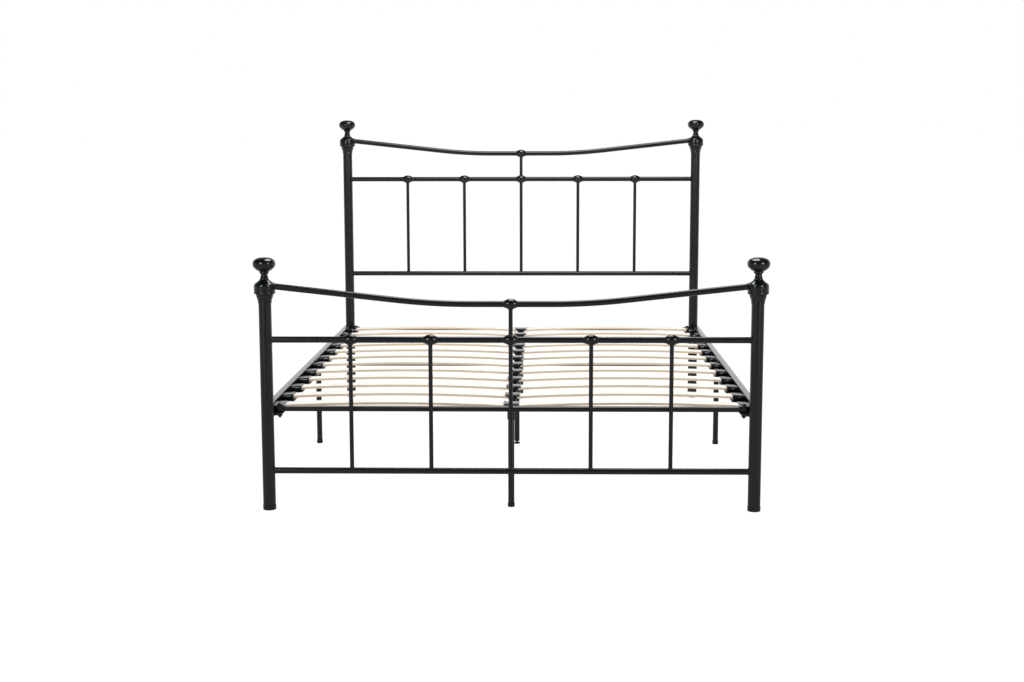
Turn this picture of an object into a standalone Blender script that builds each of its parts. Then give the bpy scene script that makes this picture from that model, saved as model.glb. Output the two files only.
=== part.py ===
"""Metal bed frame: two tubular end panels with cast finials, an angle-iron base in two halves,
a centre rail, crowned slats in holders, five legs under the base and one levelling foot.

Metres, +Z up, floor at Z = 0. The footboard is at -Y, the headboard at +Y, and left is -X, as
seen by someone standing at the foot of the bed.
"""
import math

import bmesh
import bpy
from mathutils import Vector

# ---------------------------------------------------------------- driving dimensions
GAP = 0.0003                 # clearance between pieces that touch
POST_SPACING = 1.460         # between the axes of a panel's two posts
PANEL_SPACING = 1.970        # between the footboard's plane and the headboard's plane

POST_R = 0.0190              # post tube, one and a half inches
RAIL_R = 0.0095              # panel rails and centre rail, three quarters of an inch
SPINDLE_R = 0.00635          # spindles, half an inch
LEG_R = 0.0095               # legs of the base

PANELS = {"footboard": (-1, 0.518), "headboard": (1, 0.928)}    # side of the bed, middle rail's height
BOTTOM_RAIL_DROP = 0.398     # bottom rail below the middle rail
TOP_RAIL_RISE = 0.1070       # lowest point of the top rail above the middle rail
LIP_RISE = 0.1408            # lip of the corner casting above the middle rail

TOP_RAIL_FLAT = 0.12         # half of the top rail's level middle
TOP_RAIL_BEND = 0.34         # from the middle to the end of the bend
TOP_RAIL_SLOPE = 0.1105      # rise per metre from the bend to the post

SPINDLE_PITCH = 0.239
SPINDLES = 5
KNUCKLE_HALF_LENGTH = 0.020
KNUCKLE_R = 0.016
SOCKET_DEPTH = 0.005         # how far a tube enters the piece that it is welded to
CASTING_SOCKET_DEPTH = 0.016
CASTING_SOCKET_REACH = 0.045  # from the post's axis to the outer end of the top rail's socket cut

ANGLE_BOTTOM = 0.291         # underside of the side rails
ANGLE_HEIGHT = 0.022
ANGLE_LIP = 0.0175             # flange at the top, outwards from the upright leg
ANGLE_WIDTH = 0.045
ANGLE_WALL = 0.0025
ANGLE_END_CLEARANCE = 0.0005

ROWS = 12
ROW_PITCH = 0.160
SLAT_WIDTH = 0.053
SLAT_THICKNESS = 0.008
SLAT_CROWN = 0.010
SLAT_STEPS = 8
SLAT_BED_CLEARANCE = 0.004   # slat's underside above the rail's inner surface

HOLDER_LENGTH = 0.0370       # across the bed
HOLDER_WIDTH = 0.060         # along the bed
HOLDER_HEIGHT = 0.017
HOLDER_BACK = 0.005
HOLDER_WEB = 0.0022          # half of the wall between the two pockets of a centre holder
CENTRE_HOLDER_HALF = 0.023
CENTRE_HOLDER_RISE = 0.002   # gap between the centre tube and the underside of its holders
HOLDER_NECK_HALF = 0.0080    # neck that joins a centre holder to its tube
HOLDER_NECK_INSET = 0.004
POCKET_LIFT = 0.0018         # room above the slat's end, for its slope

END_BAR_WIDTH = 0.025
END_BARS = {                 # side of the bed, underside above the shelf, bar height, bracket height
    "foot_end_bar": (-1, 0.0012, 0.014, 0.020),
    "head_end_bar": (1, GAP, 0.009, 0.0135),
}
END_BAR_CLEARANCE = 0.001    # from each end to the side rail's wall
END_BAR_INSET = 0.0445       # its centre line from the panel's plane
BRACKET_WIDTH = 0.031
BRACKET_DEPTH = 0.031
BRACKET_INSET = 0.014        # outer face from the side rail's outer face

LUG_THICKNESS = 0.006
LUG_LENGTH = 0.062           # from the panel's plane
LUG_INNER = 0.040            # inner end from the post's axis
LUG_OUTER = 0.0145
CENTRE_RAIL_DROP = 0.0006    # top of the tube below the top of its socket blocks
CENTRE_SOCKET = 0.024        # side of the block that takes the centre rail's end and its leg
JOINT_PLATE_WIDTH = 0.040    # plate that joins the centre rail's two lengths over the mid bar
JOINT_PLATE_LENGTH = 0.060
END_FACE_STEP = 0.001        # between end faces that would otherwise share a plane
MID_BAR_WIDTH = 0.020        # flat bar
MID_BAR_THICKNESS = 0.003
MID_BAR_CLEARANCE = 0.0004   # under the side rails
LEG_INSET = 0.008            # mid leg's axis inside the post's axis

CHAMFER = 0.001              # on ferrules, caps and the foot's pad
CUT_MARGIN = 0.010           # how far a cut runs past the piece
CAP_R = 0.0106
CAP_HEIGHT = 0.012
FERRULE_R = 0.0196
FERRULE_HEIGHT = 0.016
FOOT_PAD_R = 0.011
FOOT_PAD_HEIGHT = 0.0065
FOOT_STEM_R = 0.004
FOOT_STEM_TOP = 0.040
LEVELLING_GAP = 0.0035
STEM_BORE_DEPTH = 0.050
STEM_CLEARANCE = 0.0003

FINIAL_SEAT = 0.0380         # top of the casting above its lip
STUD_R = 0.004
STUD_LENGTH = 0.014
KNOB_R = 0.034
KNOB_MIDDLE = 0.0850         # widest part of the knob above the lip
KNOB_TOP = 0.1052
KNOB_FULLNESS = 2 / 2.4      # below 1 the crown is fuller than an ellipse

# Turned shapes of the corner casting and its finial: (radius, height above the casting's lip).
CASTING_CUP = [(0.0190, -0.0290), (0.0215, -0.0205), (0.0240, -0.0131), (0.0264, -0.0040)]
CASTING_RIM = [(0.0312, -0.0030), (0.0319, -0.0005), (0.0314, 0.0020)]
CASTING_DOME = [(0.0317, 0.0090), (0.0315, 0.0190), (0.0303, 0.0258), (0.0258, 0.0294), (0.0216, 0.0326),
                (0.0178, 0.0358), (0.0156, FINIAL_SEAT)]
FINIAL_BEADS = [(0.0136, FINIAL_SEAT + GAP), (0.0139, 0.0400), (0.0113, 0.0432), (0.0121, 0.0462),
                (0.0112, 0.0486)]
FINIAL_NECK = [(0.0101, 0.0512), (0.0101, 0.0535), (0.0138, 0.0590), (0.0140, 0.0622)]
KNOB_UNDERSIDE = [(0.0185, 0.0650), (0.0265, 0.0712), (0.0318, 0.0764)]

ROUND = 16                   # sides of posts and castings
SMALL_ROUND = 12             # sides of rails, spindles and legs

# ---------------------------------------------------------------- worked-out dimensions
POST_X = POST_SPACING / 2
PANEL_Y = PANEL_SPACING / 2
ANGLE_OUTER = POST_X
ANGLE_INNER = ANGLE_OUTER - ANGLE_WALL
ANGLE_EDGE = ANGLE_OUTER - ANGLE_WIDTH
ANGLE_SEAT = ANGLE_BOTTOM + ANGLE_WALL
ANGLE_END = PANEL_Y - POST_R - ANGLE_END_CLEARANCE
SLAT_BOTTOM = ANGLE_SEAT + SLAT_BED_CLEARANCE
SLAT_OUTER = ANGLE_INNER - HOLDER_BACK - GAP
SLAT_INNER = HOLDER_WEB + GAP
END_BAR_Y = PANEL_Y - END_BAR_INSET
CENTRE_SOCKET_BOTTOM = ANGLE_SEAT - CENTRE_SOCKET
MID_BAR_TOP = ANGLE_BOTTOM - MID_BAR_CLEARANCE
MID_LEG_X = POST_X - LEG_INSET
ROW_Y = [ROW_PITCH * (row - (ROWS - 1) / 2) for row in range(ROWS)]
SPINDLE_X = [SPINDLE_PITCH * (i - (SPINDLES - 1) / 2) for i in range(SPINDLES)]


# ---------------------------------------------------------------- scene and materials
def clear_scene():
    for thing in list(bpy.data.objects):
        bpy.data.objects.remove(thing, do_unlink=True)


def principled(name, colour, roughness, metallic=0.0):
    material = bpy.data.materials.new(name)
    material.use_nodes = True
    shader = material.node_tree.nodes["Principled BSDF"]
    shader.inputs["Base Color"].default_value = (*colour, 1.0)
    shader.inputs["Roughness"].default_value = roughness
    shader.inputs["Metallic"].default_value = metallic
    material.diffuse_color = (*colour, 1.0)
    return material


def add_object(name, mesh, material, location=(0, 0, 0)):
    piece = bpy.data.objects.new(name, mesh)
    bpy.context.scene.collection.objects.link(piece)
    piece.location = location
    if material and not mesh.materials:
        mesh.materials.append(material)
    return piece


def mesh_from(name, bm, smooth=True):
    bmesh.ops.recalc_face_normals(bm, faces=bm.faces)
    mesh = bpy.data.meshes.new(name)
    bm.to_mesh(mesh)
    bm.free()
    if smooth:
        mesh.shade_smooth()
        mesh.set_sharp_from_angle(angle=math.radians(35))
    return mesh


# ---------------------------------------------------------------- shapes
def lathe_mesh(name, profile, sides):
    """A profile of (radius, height) points, bottom to top, turned about Z."""
    bm = bmesh.new()
    rings = []
    for radius, height in profile:
        if radius == 0:
            rings.append([bm.verts.new((0, 0, height))])
            continue
        turn = [2 * math.pi * i / sides for i in range(sides)]
        rings.append([bm.verts.new((radius * math.cos(a), radius * math.sin(a), height)) for a in turn])
    for low, high in zip(rings, rings[1:]):
        for i in range(sides):
            j = (i + 1) % sides
            corners = [low[i % len(low)], low[j % len(low)], high[j % len(high)], high[i % len(high)]]
            bm.faces.new(list(dict.fromkeys(corners)))
    for end in (rings[0], rings[-1]):
        if len(end) > 1:
            bm.faces.new(end)
    return mesh_from(name, bm)


def swept_mesh(name, path, radii, sides):
    """A round bar along a path in the XZ plane, with a radius at each of its points."""
    bm = bmesh.new()
    rings = []
    for i, (point, radius) in enumerate(zip(path, radii)):
        before = Vector(path[max(i - 1, 0)])
        after = Vector(path[min(i + 1, len(path) - 1)])
        along = (after - before).normalized()
        up = Vector((0, 1, 0)).cross(along)
        turn = [2 * math.pi * k / sides for k in range(sides)]
        rings.append([
            bm.verts.new(Vector(point) + radius * (math.cos(a) * up + math.sin(a) * Vector((0, 1, 0))))
            for a in turn
        ])
    for first, second in zip(rings, rings[1:]):
        for k in range(sides):
            m = (k + 1) % sides
            bm.faces.new((first[k], first[m], second[m], second[k]))
    bm.faces.new(rings[0])
    bm.faces.new(rings[-1])
    return mesh_from(name, bm)


def box_mesh(name, boxes):
    """One or more separate boxes, each given by its lowest and highest corners."""
    bm = bmesh.new()
    for low, high in boxes:
        made = bmesh.ops.create_cube(bm, size=1.0)
        for vert in made["verts"]:
            vert.co = [lo + (c + 0.5) * (hi - lo) for c, lo, hi in zip(vert.co, low, high)]
    return mesh_from(name, bm, smooth=False)


def mirrored_box(x_side, y_side, low, high):
    """A box given for +X and +Y, moved to the stated sides."""
    xs = sorted((x_side * low[0], x_side * high[0]))
    ys = sorted((y_side * low[1], y_side * high[1]))
    return (xs[0], ys[0], low[2]), (xs[1], ys[1], high[2])


def cylinders_mesh(name, axis, ends, radius, sides):
    """Separate cylinders along an axis, each given by its two end points."""
    bm = bmesh.new()
    for start, end in ends:
        start, end = Vector(start), Vector(end)
        made = bmesh.ops.create_cone(bm, cap_ends=True, segments=sides, radius1=radius,
                                     radius2=radius, depth=(end - start).length)
        turn = Vector((0, 0, 1)).rotation_difference(Vector(axis)).to_matrix()
        for vert in made["verts"]:
            vert.co = turn @ vert.co + (start + end) / 2
    return mesh_from(name, bm)


def combine(target, operation, mesh):
    """Adds a Boolean with a hidden tool object that shares the target's place."""
    tool = add_object(f"tool_{operation.lower()}_{target.name}", mesh, None, target.location)
    tool.hide_render = True
    tool.display_type = "WIRE"
    modifier = target.modifiers.new(operation.title(), "BOOLEAN")
    modifier.operation = operation
    modifier.solver = "EXACT"
    modifier.object = tool


# ---------------------------------------------------------------- end panels
def top_rail_height(x):
    """Height of the top rail's axis above its lowest point."""
    reach = abs(x)
    bend_radius = (TOP_RAIL_BEND - TOP_RAIL_FLAT) / TOP_RAIL_SLOPE
    if reach <= TOP_RAIL_FLAT:
        return 0.0
    if reach <= TOP_RAIL_BEND:
        return (reach - TOP_RAIL_FLAT) ** 2 / (2 * bend_radius)
    bend_rise = (TOP_RAIL_BEND - TOP_RAIL_FLAT) * TOP_RAIL_SLOPE / 2
    return bend_rise + (reach - TOP_RAIL_BEND) * TOP_RAIL_SLOPE


def knuckle_stations(centre):
    """(x, radius) pairs of one cast knuckle on a rail, an ellipse cut off at the rail's radius."""
    edge = math.acos(RAIL_R / KNUCKLE_R)
    angles = [edge * k / 3 for k in range(-3, 4)]
    reach = KNUCKLE_HALF_LENGTH / math.sin(edge)
    return [(centre + reach * math.sin(a), KNUCKLE_R * math.cos(a)) for a in angles]


def casting_profile(lip):
    """Corner casting from the post's tube up to the finial's seat and the hole for its stud."""
    outside = [(radius, lip + height) for radius, height in CASTING_CUP + CASTING_RIM + CASTING_DOME]
    hole_r = STUD_R + GAP
    hole_end = lip + FINIAL_SEAT - STUD_LENGTH - GAP
    return outside + [(hole_r, lip + FINIAL_SEAT), (hole_r, hole_end), (0, hole_end)]


def finial_profile():
    """Stud, two beads, neck, collar and knob, from the casting's lip up."""
    seat = FINIAL_SEAT + GAP
    stud = [(0, seat - STUD_LENGTH), (STUD_R, seat - STUD_LENGTH), (STUD_R, seat)]
    steps = 6
    crown = [
        (KNOB_R * math.cos(a) ** KNOB_FULLNESS,
         KNOB_MIDDLE + (KNOB_TOP - KNOB_MIDDLE) * math.sin(a) ** KNOB_FULLNESS)
        for a in (math.pi / 2 * k / steps for k in range(steps))
    ]
    return stud + FINIAL_BEADS + FINIAL_NECK + KNOB_UNDERSIDE + crown + [(0, KNOB_TOP)]


def make_post(name, x_side, y_side, middle, material):
    """Post tube, floor ferrule, corner casting and base lug; the tubes' sockets are cut out."""
    lip = middle + LIP_RISE
    profile = [(0, 0), (FERRULE_R - CHAMFER, 0), (FERRULE_R, CHAMFER), (FERRULE_R, FERRULE_HEIGHT),
               (POST_R, FERRULE_HEIGHT)]
    mesh = lathe_mesh(name, profile + casting_profile(lip), ROUND)
    post = add_object(name, mesh, material, (x_side * POST_X, y_side * PANEL_Y, 0))

    lug_low = (-x_side * LUG_INNER, -y_side * LUG_LENGTH, ANGLE_BOTTOM - GAP - LUG_THICKNESS)
    lug_high = (x_side * LUG_OUTER, -y_side * POST_R / 2, ANGLE_BOTTOM - GAP)
    lug = [tuple(map(min, lug_low, lug_high)), tuple(map(max, lug_low, lug_high))]
    combine(post, "UNION", box_mesh(f"lug_{name}", [lug]))

    inward = -x_side
    sockets = []
    for height in (middle, middle - BOTTOM_RAIL_DROP):
        start = inward * (POST_R - SOCKET_DEPTH - GAP)
        sockets.append(((start, 0, height), (inward * (POST_R + CUT_MARGIN), 0, height)))
    combine(post, "DIFFERENCE", cylinders_mesh(f"sockets_{name}", (1, 0, 0), sockets,
                                               RAIL_R + GAP, SMALL_ROUND))

    top_end = POST_X - CASTING_SOCKET_DEPTH + GAP
    top_path = [(x_side * (x - POST_X), 0, middle + TOP_RAIL_RISE + top_rail_height(x))
                for x in (top_end, POST_X - CASTING_SOCKET_REACH)]
    path = sorted(top_path)
    combine(post, "DIFFERENCE", swept_mesh(f"top_socket_{name}", path, [RAIL_R + GAP] * 2, SMALL_ROUND))
    return post


def make_straight_rail(name, y, height, material, knuckles):
    """A level rail between the posts, with sockets for the spindles on its upper or lower side."""
    end = POST_X - POST_R + SOCKET_DEPTH
    stations = [(-end, RAIL_R)]
    if knuckles:
        for x in SPINDLE_X:
            stations += knuckle_stations(x)
    stations.append((end, RAIL_R))
    path = [(x, 0, 0) for x, _ in stations]
    rail = add_object(name, swept_mesh(name, path, [r for _, r in stations], SMALL_ROUND),
                      material, (0, y, height))
    sockets = []
    for i, x in enumerate(SPINDLE_X):
        through = knuckles and i == SPINDLES // 2
        if through:
            sockets.append(((x, 0, -2 * KNUCKLE_R), (x, 0, 2 * KNUCKLE_R)))
        elif knuckles:
            sockets.append(((x, 0, -2 * KNUCKLE_R), (x, 0, SOCKET_DEPTH + GAP - KNUCKLE_R)))
        else:
            sockets.append(((x, 0, RAIL_R - SOCKET_DEPTH - GAP), (x, 0, 2 * RAIL_R)))
    combine(rail, "DIFFERENCE", cylinders_mesh(f"sockets_{name}", (0, 0, 1), sockets,
                                               SPINDLE_R + GAP, SMALL_ROUND))
    return rail


def make_top_rail(name, y, lowest, material):
    """The drooping top rail with its knuckle, and the socket of the centre spindle."""
    end = POST_X - CASTING_SOCKET_DEPTH
    bend = [TOP_RAIL_FLAT + (TOP_RAIL_BEND - TOP_RAIL_FLAT) * k / 6 for k in range(7)]
    right = [(x, RAIL_R) for x in bend + [end]]
    left = [(-x, r) for x, r in reversed(right)]
    stations = left + knuckle_stations(0.0) + right
    path = [(x, 0, top_rail_height(x)) for x, _ in stations]
    rail = add_object(name, swept_mesh(name, path, [r for _, r in stations], SMALL_ROUND),
                      material, (0, y, lowest))
    socket = [((0, 0, -2 * KNUCKLE_R), (0, 0, SOCKET_DEPTH + GAP - KNUCKLE_R))]
    combine(rail, "DIFFERENCE", cylinders_mesh(f"socket_{name}", (0, 0, 1), socket,
                                               SPINDLE_R + GAP, SMALL_ROUND))
    return rail


def make_spindles(panel, y, middle, material):
    """Upright rods; the centre one runs on through the middle rail to the top rail."""
    bottom = middle - BOTTOM_RAIL_DROP + RAIL_R - SOCKET_DEPTH
    for i, x in enumerate(SPINDLE_X):
        knuckle_height = middle + TOP_RAIL_RISE if i == SPINDLES // 2 else middle
        top = knuckle_height - KNUCKLE_R + SOCKET_DEPTH
        profile = [(SPINDLE_R, 0), (SPINDLE_R, top - bottom)]
        name = f"{panel}_spindle_{i + 1}"
        add_object(name, lathe_mesh(name, profile, SMALL_ROUND), material, (x, y, bottom))


def make_panel(panel, y_side, middle, frame_paint, casting_paint):
    y = y_side * PANEL_Y
    finial = lathe_mesh(f"{panel}_finial", finial_profile(), ROUND)
    for side, x_side in (("left", -1), ("right", 1)):
        make_post(f"{panel}_post_{side}", x_side, y_side, middle, frame_paint)
        add_object(f"{panel}_finial_{side}", finial, casting_paint, (x_side * POST_X, y, middle + LIP_RISE))
    make_top_rail(f"{panel}_top_rail", y, middle + TOP_RAIL_RISE, frame_paint)
    make_straight_rail(f"{panel}_middle_rail", y, middle, frame_paint, knuckles=True)
    make_straight_rail(f"{panel}_bottom_rail", y, middle - BOTTOM_RAIL_DROP, frame_paint, knuckles=False)
    make_spindles(panel, y, middle, frame_paint)


# ---------------------------------------------------------------- base
def make_side_rail(name, x_side, y_side, material):
    """Half of a side rail: an angle with a top flange, and six slat holders on its inner leg."""
    near = GAP / 2
    wall = mirrored_box(x_side, y_side, (ANGLE_INNER, near, ANGLE_BOTTOM),
                        (ANGLE_OUTER, ANGLE_END, ANGLE_BOTTOM + ANGLE_HEIGHT))
    shelf = mirrored_box(x_side, y_side, (ANGLE_EDGE, near, ANGLE_BOTTOM),
                         (ANGLE_INNER + ANGLE_WALL / 2, ANGLE_END, ANGLE_SEAT))
    top = ANGLE_BOTTOM + ANGLE_HEIGHT
    lip = mirrored_box(x_side, y_side, (ANGLE_OUTER - ANGLE_WALL / 2, near, top - ANGLE_WALL),
                       (ANGLE_OUTER + ANGLE_LIP, ANGLE_END, top))
    rail = add_object(name, box_mesh(name, [wall]), material)
    combine(rail, "UNION", box_mesh(f"shelf_{name}", [shelf]))
    combine(rail, "UNION", box_mesh(f"lip_{name}", [lip]))
    blocks, pockets = [], []
    sink = ANGLE_WALL / 2
    for y in (y for y in ROW_Y if y > 0):
        blocks.append(mirrored_box(
            x_side, y_side,
            (ANGLE_INNER - HOLDER_LENGTH, y - HOLDER_WIDTH / 2, ANGLE_SEAT - sink),
            (ANGLE_INNER + sink, y + HOLDER_WIDTH / 2, ANGLE_SEAT + HOLDER_HEIGHT)))
        pockets.append(mirrored_box(
            x_side, y_side,
            (ANGLE_INNER - HOLDER_LENGTH - CUT_MARGIN, y - SLAT_WIDTH / 2 - GAP, SLAT_BOTTOM - GAP),
            (ANGLE_INNER - HOLDER_BACK, y + SLAT_WIDTH / 2 + GAP,
             SLAT_BOTTOM + SLAT_THICKNESS + POCKET_LIFT + GAP)))
    combine(rail, "UNION", box_mesh(f"holders_{name}", blocks))
    combine(rail, "DIFFERENCE", box_mesh(f"pockets_{name}", pockets))
    return rail


def make_centre_rail(material):
    """Round tube in two lengths under the slats' inner ends, joined by a plate over the mid bar,
    with a socket block at each end and twelve double holders."""
    plate = ((-JOINT_PLATE_WIDTH / 2, -JOINT_PLATE_LENGTH / 2, MID_BAR_TOP + GAP),
             (JOINT_PLATE_WIDTH / 2, JOINT_PLATE_LENGTH / 2, ANGLE_SEAT))
    rail = add_object("centre_rail", box_mesh("centre_rail", [plate]), material)
    end = END_BAR_Y + END_BAR_WIDTH / 2
    near = MID_BAR_WIDTH / 2 + GAP
    height = ANGLE_SEAT - CENTRE_RAIL_DROP - RAIL_R
    far = end - END_FACE_STEP
    tubes = [((0, -far, height), (0, -near, height)), ((0, near, height), (0, far, height))]
    combine(rail, "UNION", cylinders_mesh("tubes_centre_rail", (0, 1, 0), tubes, RAIL_R, SMALL_ROUND))

    half = CENTRE_SOCKET / 2
    blocks = [mirrored_box(1, y_side, (-half, end - CENTRE_SOCKET, CENTRE_SOCKET_BOTTOM),
                           (half, end, ANGLE_SEAT)) for y_side in (-1, 1)]
    body_bottom = ANGLE_SEAT + CENTRE_HOLDER_RISE
    necks, bodies, pockets = [], [], []
    for y in ROW_Y:
        low, high = y - HOLDER_WIDTH / 2, y + HOLDER_WIDTH / 2
        necks.append(((-HOLDER_NECK_HALF, low + HOLDER_NECK_INSET, height),
                      (HOLDER_NECK_HALF, high - HOLDER_NECK_INSET, body_bottom + GAP)))
        bodies.append(((-CENTRE_HOLDER_HALF, low, body_bottom),
                       (CENTRE_HOLDER_HALF, high, ANGLE_SEAT + HOLDER_HEIGHT)))
        for x_side in (-1, 1):
            pockets.append(mirrored_box(
                x_side, 1, (HOLDER_WEB, y - SLAT_WIDTH / 2 - GAP, SLAT_BOTTOM - GAP),
                (CENTRE_HOLDER_HALF + CUT_MARGIN, y + SLAT_WIDTH / 2 + GAP,
                 SLAT_BOTTOM + SLAT_THICKNESS + POCKET_LIFT + GAP)))
    combine(rail, "UNION", box_mesh("sockets_centre_rail", blocks))
    combine(rail, "UNION", box_mesh("necks_centre_rail", necks))
    combine(rail, "UNION", box_mesh("holders_centre_rail", bodies))
    combine(rail, "DIFFERENCE", box_mesh("pockets_centre_rail", pockets))


def make_end_bar(name, y_side, lift, height, bracket_height, material):
    """Flat tube across the bed's end, with a bracket over each side rail's shelf and a pad that
    rests on the centre rail's socket."""
    seat = ANGLE_SEAT + GAP
    bottom = ANGLE_SEAT + lift
    reach = ANGLE_INNER - END_BAR_CLEARANCE
    half = END_BAR_WIDTH / 2
    tube = mirrored_box(1, y_side, (-reach, END_BAR_Y - half, bottom),
                        (reach, END_BAR_Y + half, bottom + height))
    bar = add_object(name, box_mesh(name, [tube]), material)
    x_high = ANGLE_OUTER - BRACKET_INSET
    supports = [mirrored_box(x_side, y_side,
                             (x_high - BRACKET_WIDTH, END_BAR_Y - BRACKET_DEPTH / 2, seat),
                             (x_high, END_BAR_Y + BRACKET_DEPTH / 2, seat + bracket_height))
                for x_side in (-1, 1)]
    if bottom > seat:
        pad_half = CENTRE_SOCKET / 2
        supports.append(mirrored_box(1, y_side, (-pad_half, END_BAR_Y + half - CENTRE_SOCKET, seat),
                                     (pad_half, END_BAR_Y + half - END_FACE_STEP, bottom + height / 2)))
    combine(bar, "UNION", box_mesh(f"supports_{name}", supports))


def make_mid_support(material):
    """Cross bar under the joints of the side rails, with a leg at each end."""
    low = (-MID_LEG_X, -MID_BAR_WIDTH / 2, MID_BAR_TOP - MID_BAR_THICKNESS)
    high = (MID_LEG_X, MID_BAR_WIDTH / 2, MID_BAR_TOP)
    support = add_object("mid_support_frame", box_mesh("mid_support_frame", [(low, high)]), material)
    for x_side in (-1, 1):
        leg = lathe_mesh("mid_leg", leg_profile(MID_BAR_TOP), SMALL_ROUND)
        for vert in leg.vertices:
            vert.co.x += x_side * MID_LEG_X
        combine(support, "UNION", leg)


def leg_profile(top):
    cap = [(CAP_R - CHAMFER, 0), (CAP_R, CHAMFER), (CAP_R, CAP_HEIGHT)]
    return cap + [(LEG_R, CAP_HEIGHT), (LEG_R, top)]


def make_centre_legs(material, plastic):
    """Legs under the centre rail; the middle one ends above the floor on a levelling foot."""
    top = CENTRE_SOCKET_BOTTOM - GAP
    for name, y in (("foot_centre_leg", -END_BAR_Y), ("head_centre_leg", END_BAR_Y)):
        add_object(name, lathe_mesh(name, leg_profile(top), SMALL_ROUND), material, (0, y, 0))

    top = MID_BAR_TOP - MID_BAR_THICKNESS - GAP
    leg_bottom = FOOT_PAD_HEIGHT + LEVELLING_GAP
    bore = FOOT_STEM_R + STEM_CLEARANCE
    profile = [(0, STEM_BORE_DEPTH), (bore, STEM_BORE_DEPTH), (bore, 0), (LEG_R, 0),
               (LEG_R, top - leg_bottom)]
    add_object("mid_centre_leg", lathe_mesh("mid_centre_leg", profile, SMALL_ROUND), material,
               (0, 0, leg_bottom))
    foot = [(FOOT_PAD_R - CHAMFER, 0), (FOOT_PAD_R, CHAMFER), (FOOT_PAD_R, FOOT_PAD_HEIGHT - CHAMFER),
            (FOOT_PAD_R - CHAMFER, FOOT_PAD_HEIGHT), (FOOT_STEM_R, FOOT_PAD_HEIGHT),
            (FOOT_STEM_R, FOOT_STEM_TOP)]
    add_object("levelling_foot", lathe_mesh("levelling_foot", foot, SMALL_ROUND), plastic)


def slat_mesh():
    """A crowned slat, centred on its own length and width, its ends' underside at Z = 0."""
    half = (SLAT_OUTER - SLAT_INNER) / 2
    bm = bmesh.new()
    rings = []
    for k in range(SLAT_STEPS + 1):
        t = 2 * k / SLAT_STEPS - 1
        rise = SLAT_CROWN * (1 - t * t)
        corners = [(-1, 0), (1, 0), (1, SLAT_THICKNESS), (-1, SLAT_THICKNESS)]
        rings.append([bm.verts.new((t * half, side * SLAT_WIDTH / 2, rise + up)) for side, up in corners])
    for first, second in zip(rings, rings[1:]):
        for k in range(4):
            m = (k + 1) % 4
            bm.faces.new((first[k], first[m], second[m], second[k]))
    bm.faces.new(rings[0])
    bm.faces.new(rings[-1])
    return mesh_from("slat", bm)


def make_slats(material):
    mesh = slat_mesh()
    middle = (SLAT_OUTER + SLAT_INNER) / 2
    for side, x_side in (("left", -1), ("right", 1)):
        for row, y in enumerate(ROW_Y):
            add_object(f"slat_{side}_{row + 1:02d}", mesh, material, (x_side * middle, y, SLAT_BOTTOM))


# ---------------------------------------------------------------- the bed
def main():
    clear_scene()
    frame_paint = principled("frame_paint", (0.022, 0.024, 0.027), 0.38)
    casting_paint = principled("casting_paint", (0.014, 0.015, 0.017), 0.16)
    birch = principled("birch", (0.86, 0.78, 0.66), 0.55)
    plastic = principled("black_plastic", (0.018, 0.018, 0.019), 0.45)

    for panel, (y_side, middle) in PANELS.items():
        make_panel(panel, y_side, middle, frame_paint, casting_paint)
    for side, x_side in (("left", -1), ("right", 1)):
        for end, y_side in (("foot", -1), ("head", 1)):
            make_side_rail(f"side_rail_{side}_{end}", x_side, y_side, frame_paint)
    make_centre_rail(frame_paint)
    for name, (y_side, lift, height, bracket_height) in END_BARS.items():
        make_end_bar(name, y_side, lift, height, bracket_height, frame_paint)
    make_mid_support(frame_paint)
    make_centre_legs(frame_paint, plastic)
    make_slats(birch)


main()
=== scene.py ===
import math

import bmesh
import bpy
from mathutils import Matrix, Vector, noise


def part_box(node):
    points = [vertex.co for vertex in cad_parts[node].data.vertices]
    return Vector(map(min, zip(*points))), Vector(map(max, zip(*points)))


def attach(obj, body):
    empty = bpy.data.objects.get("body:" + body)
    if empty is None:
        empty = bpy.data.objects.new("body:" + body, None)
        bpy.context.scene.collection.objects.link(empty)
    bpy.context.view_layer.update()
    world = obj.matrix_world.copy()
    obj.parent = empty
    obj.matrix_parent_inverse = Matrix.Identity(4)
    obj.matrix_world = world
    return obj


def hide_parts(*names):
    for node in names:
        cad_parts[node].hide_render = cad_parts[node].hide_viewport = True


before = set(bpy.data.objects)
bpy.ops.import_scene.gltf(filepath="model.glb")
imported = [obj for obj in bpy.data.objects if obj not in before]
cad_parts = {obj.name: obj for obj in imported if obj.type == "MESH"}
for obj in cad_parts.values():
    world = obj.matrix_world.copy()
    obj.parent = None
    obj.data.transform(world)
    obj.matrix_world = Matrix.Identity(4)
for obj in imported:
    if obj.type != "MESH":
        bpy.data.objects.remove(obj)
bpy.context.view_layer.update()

X_AXIS, Y_AXIS, Z_AXIS = Vector((1, 0, 0)), Vector((0, 1, 0)), Vector((0, 0, 1))
SIDES = {"left": -1, "right": 1}
ENDS = {"foot": -1, "head": 1}
PANELS = ("footboard", "headboard")

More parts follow.
